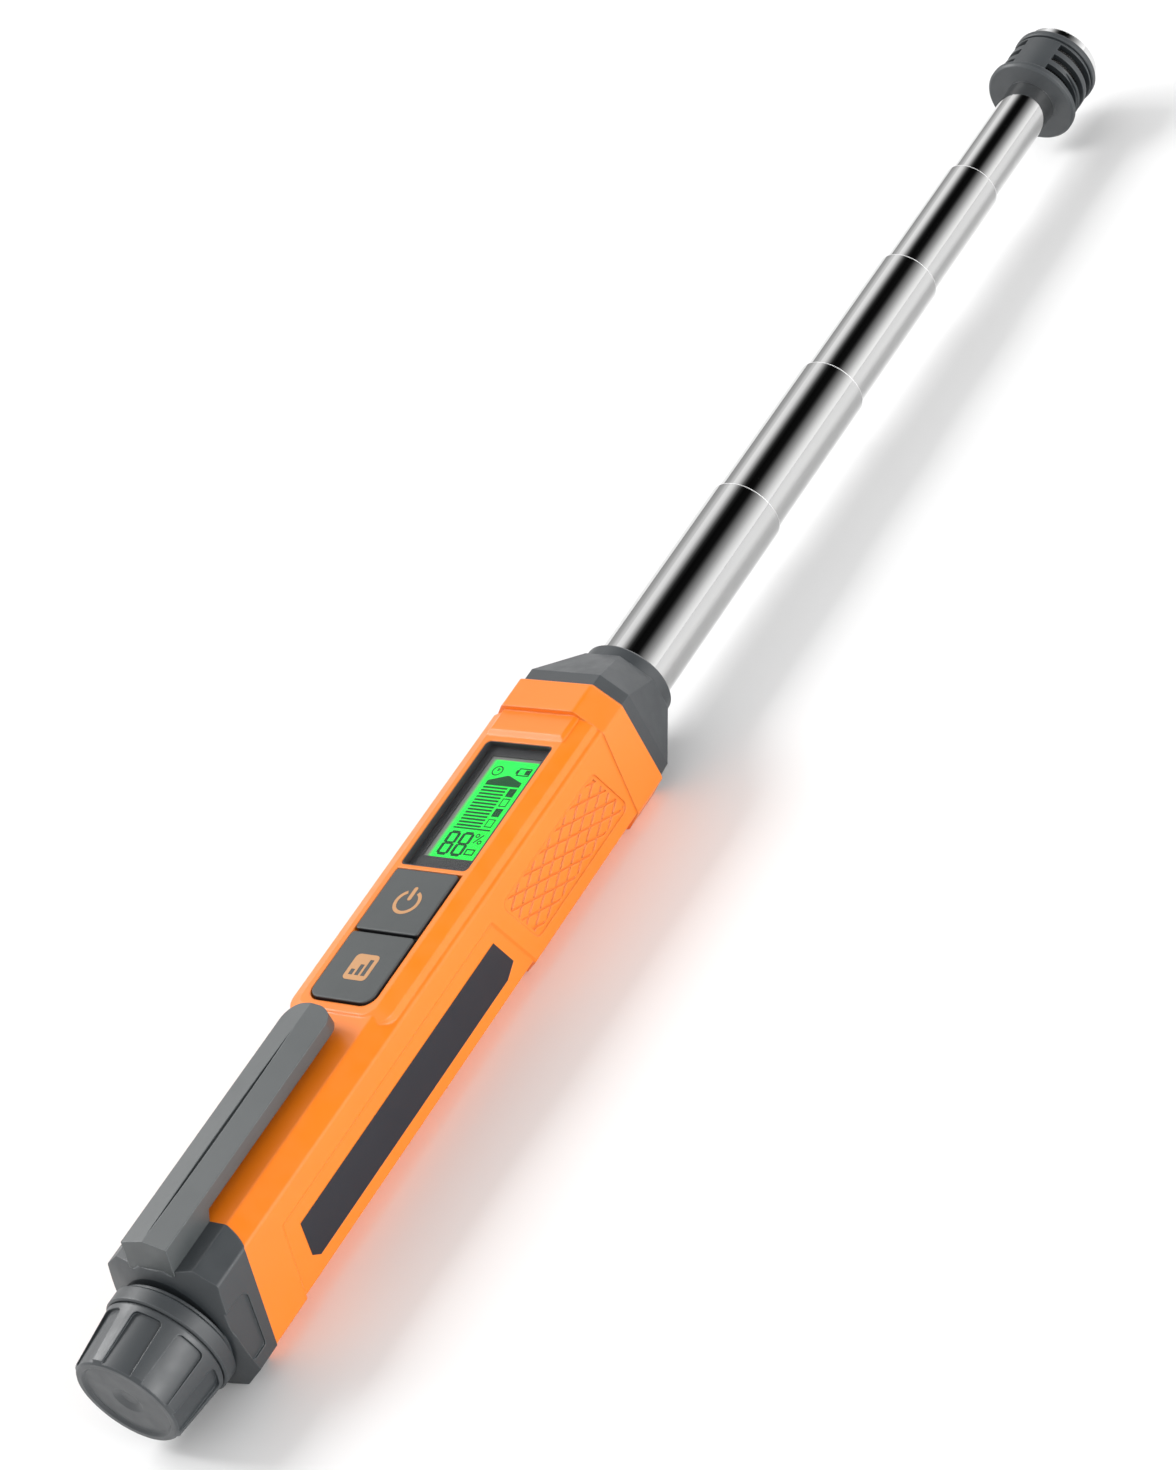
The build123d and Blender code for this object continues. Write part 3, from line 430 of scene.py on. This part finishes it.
plasticBase = {
    "specular": 0.5, "cloudScale": 40.0, "roughness": 0.42, "grainScale": 5200.0, "grain": 0.15,
    "edge": 0.0003, "ior": 1.48,
}
plasticLooks = {
    "orangeShell": {
        "dark": (0.88, 0.200, 0.004, 1), "light": (0.93, 0.222, 0.006, 1),
        "worn": (1.0, 0.34, 0.06, 1),
        "specular": 0.75, "cloudScale": 30.0, "roughness": 0.36, "edge": 0.0005,
    },
    "greyShell": {
        "dark": (0.020, 0.025, 0.029, 1), "light": (0.026, 0.032, 0.037, 1),
        "worn": (0.13, 0.15, 0.16, 1),
        "ior": 1.75, "roughness": 0.46,
    },
    "clipShell": {
        "dark": (0.052, 0.060, 0.062, 1), "light": (0.062, 0.070, 0.072, 1),
        "worn": (0.20, 0.22, 0.23, 1),
        "ior": 1.8, "roughness": 0.46,
    },
    "keyRubber": {
        "dark": (0.052, 0.058, 0.059, 1), "light": (0.062, 0.069, 0.070, 1),
        "worn": (0.12, 0.13, 0.13, 1),
        "roughness": 0.5, "grainScale": 6500.0, "grain": 0.3,
    },
    "labelFilm": {
        "dark": (0.010, 0.013, 0.020, 1), "light": (0.014, 0.017, 0.025, 1),
        "worn": (0.06, 0.06, 0.08, 1),
        "roughness": 0.38, "grainScale": 3000.0, "grain": 0.05, "edge": 0.0001,
    },
    "symbolPaint": {
        "dark": (0.50, 0.25, 0.105, 1), "light": (0.56, 0.29, 0.125, 1),
        "worn": (0.42, 0.24, 0.12, 1),
        "roughness": 0.5, "edge": 0.00005,
    },
    "maskInk": {
        "dark": (0.040, 0.041, 0.045, 1), "light": (0.052, 0.053, 0.057, 1),
        "worn": (0.06, 0.06, 0.06, 1),
        "roughness": 0.4, "grain": 0.01, "edge": 0.00002,
    },
    "displayInk": {
        "dark": (0.004, 0.085, 0.022, 1), "light": (0.006, 0.115, 0.032, 1),
        "worn": (0.01, 0.13, 0.04, 1),
        "specular": 0.2, "grain": 0.02, "edge": 0.00002,
    },
    "backlightAcrylic": {
        "dark": (0.70, 0.73, 0.70, 1), "light": (0.78, 0.80, 0.78, 1),
        "worn": (0.85, 0.85, 0.85, 1),
        "roughness": 0.3,
    },
    "boardLacquer": {
        "dark": (0.008, 0.085, 0.030, 1), "light": (0.014, 0.120, 0.042, 1),
        "worn": (0.30, 0.32, 0.20, 1),
        "roughness": 0.3, "cloudScale": 600.0,
    },
    "switchPlastic": {
        "dark": (0.014, 0.014, 0.016, 1), "light": (0.022, 0.022, 0.025, 1),
        "worn": (0.07, 0.07, 0.07, 1),
    },
    "sealRubber": {
        "dark": (0.010, 0.010, 0.010, 1), "light": (0.018, 0.018, 0.018, 1),
        "worn": (0.05, 0.05, 0.05, 1),
        "roughness": 0.7, "specular": 0.3, "grain": 0.4,
    },
    "cellSleeve": {
        "dark": (0.045, 0.050, 0.062, 1), "light": (0.062, 0.068, 0.082, 1),
        "worn": (0.55, 0.55, 0.55, 1),
        "roughness": 0.28, "grain": 0.05,
    },
}
metalLooks = {
    "chromeTube": {
        "dark": (0.60, 0.60, 0.60, 1), "light": (0.66, 0.66, 0.655, 1), "roughness": 0.06,
        "streakScale": 300.0, "stretch": (0.05, 1, 1), "grain": 0.02, "edge": 0.0001,
    },
    "chromeBezel": {
        "dark": (0.70, 0.70, 0.70, 1), "light": (0.78, 0.78, 0.78, 1), "roughness": 0.05,
        "streakScale": 400.0, "stretch": (1, 0.3, 0.3), "grain": 0.02, "edge": 0.0004,
    },
    # paler and rougher than the tube chrome, as painted highlight on the tube mouths
    "paintedHighlightRim": {
        "dark": (0.84, 0.84, 0.84, 1), "light": (0.92, 0.92, 0.92, 1), "roughness": 0.42,
        "streakScale": 600.0, "stretch": (1, 1, 1), "grain": 0.02, "edge": 0.00005,
    },
    "springSteel": {
        "dark": (0.45, 0.45, 0.45, 1), "light": (0.60, 0.60, 0.60, 1), "roughness": 0.22,
        "streakScale": 900.0, "stretch": (1, 1, 1), "grain": 0.1, "edge": 0.0001,
    },
    "bushBrass": {
        "dark": (0.55, 0.38, 0.14, 1), "light": (0.68, 0.50, 0.20, 1), "roughness": 0.24,
        "streakScale": 500.0, "stretch": (0.2, 1, 1), "grain": 0.1, "edge": 0.0001,
    },
}
weaveLook = {
    "pitch": 900.0, "weaveSpan": (0.1, 0.7), "roughness": 0.4, "grain": 0.6, "depth": 0.0001,
    "dark": (0.02, 0.02, 0.02, 1), "light": (0.16, 0.16, 0.16, 1),
}
windowLook = {
    "ior": 1.5, "alpha": 0.10, "specular": 0.5, "hazeScale": 120.0,
    "smear": ((0.35, 0.03), (0.7, 0.09)),
    "dark": (0.02, 0.02, 0.02, 1), "light": (0.04, 0.04, 0.04, 1),
}
displayLook = {
    "border": (0.25, 0.26, 0.24, 1), "dark": (0.0, 0.88, 0.09, 1), "light": (0.0, 0.95, 0.05, 1),
    "roughness": 0.35, "cloudScale": 150.0, "glow": 0.55,
    "topBorder": 0.0009, "topFade": 0.0003, "sideBorder": 0.0014, "sideFade": 0.0009,
}

finishes = {}
for name, look in plasticLooks.items():
    finishes[name] = mouldedPlastic(name, {**plasticBase, **look})
for name, look in metalLooks.items():
    finishes[name] = polishedMetal(name, look)
finishes["wovenSteel"] = wovenSteel("wovenSteel", weaveLook)
finishes["clearWindow"] = clearWindow("clearWindow", windowLook)
finishes["glowingDisplay"] = glowingDisplay("glowingDisplay", displayLook)

finishNodes = {
    "orangeShell": ("housing",),
    "greyShell": ("rear_shell", "nose_cone", "battery_cap", "sensor_cage"),
    "clipShell": ("pocket_clip",),
    "keyRubber": ("power_button", "sensitivity_button"),
    "labelFilm": ("label_plate",),
    "clearWindow": ("display_lens",),
    "maskInk": ("display_mask",),
    "glowingDisplay": ("lcd_panel",),
    "backlightAcrylic": ("lcd_backlight",),
    "boardLacquer": ("main_board", "sensor_header"),
    "switchPlastic": ("power_switch", "sensitivity_switch", "buzzer", "battery_sleeve"),
    "cellSleeve": ("cell_rear", "cell_front"),
    "springSteel": ("front_contact", "cap_contact", "cap_spring", "sensor_element", "guide_tube"),
    "sealRubber": ("cap_seal",),
    "chromeBezel": ("sensor_bezel",),
    "wovenSteel": ("sensor_mesh",),
    "chromeTube": ("tube_1", "tube_2", "tube_3", "tube_4", "tube_5"),
    "bushBrass": ("bush_1", "bush_2", "bush_3", "bush_4", "bush_5"),
}
nodeFinish = {node: finish for finish, nodes in finishNodes.items() for node in nodes}
for name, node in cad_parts.items():
    node.data.materials.clear()
    node.data.materials.append(finishes[nodeFinish[name]])
print("finishes on", len(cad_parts), "nodes")


# flat printed marks, drawn as thin plates

printing = {
    "cornerSteps": 4,
    "ringSteps": 64,
    "weld": 0.000001,
    "near": 0.00001,  # coordinates closer than this are the same
    "layer": 0.000001,  # between marks that cross, so that no two share a plane
}


def printBar(along, across, length, width, corner=0.0, height=0.0):
    # plate centred at along, across; length runs along the probe
    clearSelection()
    bpy.ops.mesh.primitive_plane_add(size=1, location=(along, across, height))
    bar = bpy.context.object
    bar.scale = (length, width, 1)
    bpy.ops.object.transform_apply(location=True, rotation=True, scale=True)
    if corner:
        startEdit()
        bpy.ops.mesh.bevel(offset=corner, segments=printing["cornerSteps"], affect="VERTICES")
        endEdit()
    return bar


def printRing(along, across, radius, width, gap=0.0, height=0.0, steps=printing["ringSteps"]):
    # ring whose gap, an angle, faces the probe head
    clearSelection()
    bpy.ops.mesh.primitive_circle_add(
        vertices=steps, radius=radius, fill_type="NOTHING", location=(along, across, height)
    )
    ring = bpy.context.object
    bpy.ops.object.transform_apply(location=True, rotation=True, scale=True)
    startEdit()
    shrink = (radius - width) / radius
    bpy.ops.mesh.extrude_edges_move(TRANSFORM_OT_translate={"value": (0, 0, 0)})
    bpy.ops.transform.resize(value=(shrink, shrink, 1), center_override=(along, across, height))
    endEdit()
    if gap:
        editOnly(ring, "polygons", lambda face: gap / 2 > abs(
            math.atan2(face.center.y - across, face.center.x - along)
        ))
        bpy.ops.mesh.delete(type="FACE")
        endEdit()
    return ring


def hollow(plate, line):
    # takes out the middle of a flat plate, inside a line of this width
    startEdit("SELECT", "FACE")
    bpy.ops.mesh.inset(thickness=line)
    bpy.ops.mesh.delete(type="FACE")
    endEdit()
    return plate


def joinMarks(marks, name, thickness):
    # one closed piece from flat marks, raised to its thickness
    clearSelection()
    for mark in marks:
        mark.select_set(True)
    bpy.context.view_layer.objects.active = marks[0]
    if len(marks) > 1:
        bpy.ops.object.join()
    piece = bpy.context.object
    piece.name = name
    startEdit()
    bpy.ops.mesh.remove_doubles(threshold=printing["weld"])
    bpy.ops.mesh.extrude_region_move(TRANSFORM_OT_translate={"value": (0, 0, thickness)})
    bpy.ops.mesh.select_all(action="SELECT")
    bpy.ops.mesh.normals_make_consistent(inside=False)
    endEdit()
    return piece


def dressPiece(piece, body, finish, sideFinish=None, steep=0.5):
    # a side finish goes on faces whose normal leans less than steep towards the top
    piece.data.materials.clear()
    piece.data.materials.append(finishes[finish])
    if sideFinish:
        piece.data.materials.append(finishes[sideFinish])
        for face in piece.data.polygons:
            face.material_index = int(abs(face.normal.z) < steep)
    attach(piece, body)


# window: clear pane over the mask, and a thin dark lining up to the plateau

windowValues = {"corner": 1.0, "paneLift": 0.02, "liningWidth": 0.14, "liningHigh": 0.66}


def makeWindow(values):
    low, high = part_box("display_lens")
    middle, size = (low + high) / 2, high - low
    lift, corner = mm(values["paneLift"]), mm(values["corner"])
    outline = printBar(middle.x, middle.y, size.x, size.y, corner, low.z + lift)
    pane = joinMarks([outline], "displayPane", size.z - lift)
    # the pane's edge is inked, so that the opening's wall doesn't show through it
    dressPiece(pane, "body", "clearWindow", "maskInk")
    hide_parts("display_lens")
    ring = printBar(middle.x, middle.y, size.x, size.y, corner, high.z + lift)
    ring = hollow(ring, mm(values["liningWidth"]))
    lining = joinMarks([ring], "windowLining", mm(values["liningHigh"]))
    dressPiece(lining, "body", "maskInk")


makeWindow(windowValues)
print("window ready")


# tube rims: a thin bead at the mouth of each tube that another leaves, in a paler, rougher steel
# than the tube chrome: painted highlight along each mouth

rimValues = {"count": 4, "setBack": 0.06, "ringSteps": 72, "beadSteps": 10}


def makeRim(index, values):
    low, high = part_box(f"tube_{index}")
    innerLow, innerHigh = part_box(f"tube_{index + 1}")
    outer, inner = (high.y - low.y) / 2, (innerHigh.y - innerLow.y) / 2
    setBack = mm(values["setBack"])
    clearSelection()
    bpy.ops.mesh.primitive_torus_add(
        major_radius=(outer + inner) / 2, minor_radius=(outer - inner) / 2 - setBack,
        major_segments=values["ringSteps"], minor_segments=values["beadSteps"],
        location=(high.x - setBack, (low.y + high.y) / 2, axisHeight),
        rotation=(0, math.pi / 2, 0),
    )
    rim = bpy.context.object
    rim.name = f"tubeRim{index}"
    bpy.ops.object.transform_apply(location=True, rotation=True, scale=True)
    bpy.ops.object.shade_smooth()
    # the bead's paler steel is painted highlight
    dressPiece(rim, f"tube_section_{index}", "paintedHighlightRim")


for index in range(1, rimValues["count"] + 1):
    makeRim(index, rimValues)
print("tube rims ready")


# display marks: clock, battery, peak cap, bar graph, range boxes, digits and percent sign
# (in mm; stations count from the body's front towards the tail)

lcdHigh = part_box("lcd_panel")[1]
lcdStation = 16.3  # the display panel's front edge
displayMarks = {
    "height": lcdHigh.z + 0.00001,
    "thickness": 0.00002,
    "clock": {
        "station": 19.8, "across": 2.6, "radius": 1.2, "line": 0.26,
        "longHand": {"up": 0.3, "wide": 0.22, "high": 0.8},
        "shortHand": {"up": 0.2, "aside": 0.25, "wide": 0.2, "high": 0.7, "turn": 35},
    },
    "battery": {
        "station": 19.6, "across": -3.5, "long": 2.9, "high": 1.9, "line": 0.25,
        "tip": {"proud": 0.2, "wide": 0.4, "high": 0.9},
        "charge": {"aside": 0.75, "wide": 1.0, "high": 1.1},
    },
    "cap": {
        "base": 23.3, "shoulder": 22.2, "apex": 20.7, "left": 3.3, "right": -4.6,
        "point": 0.02,  # the apex's width as a share of the base
    },
    "bars": {
        "first": 23.85, "pitch": 0.78, "count": 13, "left": 3.3, "right": -2.3, "line": 0.42,
    },
    "boxes": {
        "stations": (24.7, 27.1, 29.6, 32.2), "across": -3.75, "long": 1.7, "high": 2.0,
        "line": 0.22,
    },
    "baseLine": {"station": 33.9, "left": 3.6, "right": -4.9, "line": 0.35},
    "digits": {
        "centres": (2.2, -0.95), "top": 34.7, "high": 5.9, "wide": 2.7, "line": 0.66,
        "gap": 0.1, "corner": 0.35,  # corner as a share of the line
    },
    "percent": {
        "station": 36.1, "across": -3.7, "high": 2.5, "line": 0.3, "turn": 32,
        "ring": 0.5, "ringLine": 0.24, "ringSteps": 24, "down": 0.75, "aside": 0.62,
    },
    "unit": {"station": 39.3, "across": -3.7, "long": 2.1, "high": 1.5, "line": 0.3},
}


def stationX(station):
    return lcdHigh.x + mm(lcdStation) - mm(station)


def barAt(station, across, long, high, height, corner=0.0):
    # long is measured across the display, high along it
    return printBar(stationX(station), mm(across), mm(high), mm(long), mm(corner), height)


def slantBar(station, across, long, high, degrees, height):
    bar = barAt(station, across, long, high, height)
    startEdit()
    bpy.ops.transform.rotate(
        value=math.radians(degrees), orient_axis="Z",
        center_override=(stationX(station), mm(across), height),
    )
    endEdit()
    return bar


def boxAt(station, box, height):
    plate = barAt(station, box["across"], box["long"], box["high"], height)
    return hollow(plate, mm(box["line"]))


def spanAt(station, row, high, height):
    # bar from the row's left to its right
    across, long = (row["left"] + row["right"]) / 2, row["left"] - row["right"]
    return barAt(station, across, long, high, height)


def clockMarks(clock, height):
    station, across = clock["station"], clock["across"]
    face = printRing(
        stationX(station), mm(across), mm(clock["radius"]), mm(clock["line"]), height=height
    )
    long, short = clock["longHand"], clock["shortHand"]
    layer = printing["layer"]
    return [
        face,
        barAt(station - long["up"], across, long["wide"], long["high"], height + layer),
        slantBar(
            station - short["up"], across - short["aside"], short["wide"], short["high"],
            short["turn"], height + 2 * layer,
        ),
    ]


def batteryMarks(battery, height):
    station, across = battery["station"], battery["across"]
    tip, charge = battery["tip"], battery["charge"]
    tipAcross = across + battery["long"] / 2 + tip["proud"]
    return [
        boxAt(station, battery, height),
        barAt(station, tipAcross, tip["wide"], tip["high"], height),
        barAt(station, across - charge["aside"], charge["wide"], charge["high"], height),
    ]


def capMark(cap, height):
    # a bar whose front edge runs on to a point
    middle, high = (cap["base"] + cap["shoulder"]) / 2, cap["base"] - cap["shoulder"]
    base = spanAt(middle, cap, high, height)
    frontX = stationX(cap["shoulder"])
    editOnly(base, "edges", lambda edge: all(
        abs(base.data.vertices[i].co.x - frontX) < printing["near"] for i in edge.vertices
    ))
    bpy.ops.mesh.extrude_edges_move(
        TRANSFORM_OT_translate={"value": (mm(cap["shoulder"] - cap["apex"]), 0, 0)}
    )
    bpy.ops.transform.resize(value=(1, cap["point"], 1))
    endEdit()
    return base


def graphMarks(bars, height):
    first = spanAt(bars["first"], bars, bars["line"], height)
    marks = [first]
    for step in range(1, bars["count"]):
        copy = first.copy()
        copy.data = first.data.copy()
        scene.collection.objects.link(copy)
        for vertex in copy.data.vertices:
            vertex.co.x -= mm(bars["pitch"] * step)
        marks.append(copy)
    return marks


def digitMarks(digits, height):
    wide, high, stroke, gap = (digits[key] for key in ("wide", "high", "line", "gap"))
    corner = stroke * digits["corner"]
    start, reach = digits["top"] + stroke / 2, high - stroke
    marks = []
    for centre in digits["centres"]:
        for share in (0, 0.5, 1):  # three level strokes
            level = wide - stroke - 2 * gap
            marks.append(barAt(start + share * reach, centre, level, stroke, height, corner))
        for sideways in (-1, 1):  # four upright strokes
            for share in (0.25, 0.75):
                across = centre + sideways * (wide - stroke) / 2
                upright = reach / 2 - 2 * gap
                marks.append(
                    barAt(start + share * reach, across, stroke, upright, height, corner)
                )
    return marks


def percentMarks(percent, height):
    station, across = percent["station"], percent["across"]
    marks = [slantBar(station, across, percent["line"], percent["high"], percent["turn"], height)]
    for sideways in (-1, 1):
        marks.append(printRing(
            stationX(station + sideways * percent["down"]),
            mm(across - sideways * percent["aside"]),
            mm(percent["ring"]), mm(percent["ringLine"]), height=height,
            steps=percent["ringSteps"],
        ))
    return marks


def makeDisplayMarks(values):
    height = values["height"]
    marks = clockMarks(values["clock"], height)
    marks += batteryMarks(values["battery"], height)
    marks.append(capMark(values["cap"], height))
    marks += graphMarks(values["bars"], height)
    boxes = values["boxes"]
    for index, station in enumerate(boxes["stations"]):  # full and hollow by turns
        if index % 2:
            marks.append(boxAt(station, boxes, height))
        else:
            marks.append(barAt(station, boxes["across"], boxes["long"], boxes["high"], height))
    line = values["baseLine"]
    marks.append(spanAt(line["station"], line, line["line"], height))
    marks += digitMarks(values["digits"], height)
    marks += percentMarks(values["percent"], height)
    marks.append(boxAt(values["unit"]["station"], values["unit"], height))
    piece = joinMarks(marks, "displayMarks", values["thickness"])
    dressPiece(piece, "body", "displayInk")


makeDisplayMarks(displayMarks)
print("display marks ready")


# key tops: a pad on each key that stands just proud of the plateau; its sides take the darker
# switch plastic as painted shade, for the dark gap beside each key

keyTop = {
    "rise": 1.1, "gap": 0.01, "inset": 0.08, "wide": 14.5,
    "smallCorner": 0.7, "largeCorner": 2.3, "cornerSteps": 5,
    "edge": 0.22, "edgeSteps": 3, "steep": 0.05,
}


def makeKeyTop(name, node, body, rearCorner, values):
    low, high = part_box(node)
    inset = mm(values["inset"])
    middleX = (low.x + high.x) / 2
    pad = printBar(
        middleX, 0, high.x - low.x - 2 * inset, mm(values["wide"]) - 2 * inset,
        height=high.z + mm(values["gap"]),
    )
    for rear, corner in ((True, rearCorner), (False, values["smallCorner"])):
        editOnly(pad, "vertices", lambda vertex: (vertex.co.x < middleX) == rear)
        bpy.ops.mesh.bevel(
            offset=mm(corner), segments=values["cornerSteps"], affect="VERTICES"
        )
        endEdit()
    pad = joinMarks([pad], name, mm(values["rise"] - values["gap"]))
    top = high.z + mm(values["rise"])
    editOnly(pad, "polygons", lambda face: face.center.z > top - printing["near"])
    bpy.ops.mesh.bevel(offset=mm(values["edge"]), segments=values["edgeSteps"], affect="EDGES")
    endEdit()
    # sides in the darker switch plastic: painted shade for the gap beside the key
    dressPiece(pad, body, "keyRubber", "switchPlastic", values["steep"])


smallCorner, largeCorner = keyTop["smallCorner"], keyTop["largeCorner"]
makeKeyTop("powerKeyTop", "power_button", "power_key", smallCorner, keyTop)
makeKeyTop("sensitivityKeyTop", "sensitivity_button", "sensitivity_key", largeCorner, keyTop)
print("key tops ready")


# key symbols: an open ring with a bar, and a rounded square with three rising bars cut out

powerSymbol = {
    "station": 53.8, "across": -0.2, "radius": 2.85, "line": 0.72, "gap": 58,
    "barStation": 51.85, "barLong": 3.2, "barWide": 0.85, "barCorner": 0.49,  # share of width
    "thickness": 0.00003,
}
sensitivitySymbol = {
    "station": 69.35, "across": -0.25, "long": 5.9, "wide": 5.4, "corner": 0.95,
    "barWide": 0.9, "barHeights": (1.3, 2.5, 3.7), "barPitch": 1.4, "cutDepth": 0.001,
    "thickness": 0.00003,
}


def symbolHeight(node):
    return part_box(node)[1].z + mm(keyTop["rise"])


def makePowerSymbol(values):
    height = symbolHeight("power_button")
    across, barWide = mm(values["across"]), values["barWide"]
    ring = printRing(
        stationX(values["station"]), across, mm(values["radius"]), mm(values["line"]),
        math.radians(values["gap"]), height,
    )
    bar = printBar(
        stationX(values["barStation"]), across, mm(values["barLong"]), mm(barWide),
        mm(barWide * values["barCorner"]), height,
    )
    piece = joinMarks([ring, bar], "powerSymbol", values["thickness"])
    dressPiece(piece, "power_key", "symbolPaint")


def makeSensitivitySymbol(values):
    height = symbolHeight("sensitivity_button")
    centreX = stationX(values["station"])
    patch = printBar(
        centreX, mm(values["across"]), mm(values["long"]), mm(values["wide"]),
        mm(values["corner"]), height,
    )
    patch = joinMarks([patch], "sensitivitySymbol", values["thickness"])
    tallest = max(values["barHeights"])
    for index, tall in enumerate(values["barHeights"]):
        across = values["across"] + (1 - index) * values["barPitch"]
        x = centreX - mm(tallest - tall) / 2
        clearSelection()
        bpy.ops.mesh.primitive_cube_add(size=1, location=(x, mm(across), height))
        cutter = bpy.context.object
        cutter.scale = (mm(tall), mm(values["barWide"]), values["cutDepth"])
        bpy.ops.object.transform_apply(location=True, rotation=True, scale=True)
        clearSelection()
        patch.select_set(True)
        bpy.context.view_layer.objects.active = patch
        cut = patch.modifiers.new("barCut", "BOOLEAN")
        cut.operation = "DIFFERENCE"
        cut.object = cutter
        bpy.ops.object.modifier_apply(modifier=cut.name)
        bpy.data.objects.remove(cutter)
    dressPiece(patch, "sensitivity_key", "symbolPaint")


makePowerSymbol(powerSymbol)
makeSensitivitySymbol(sensitivitySymbol)
print("key symbols ready")
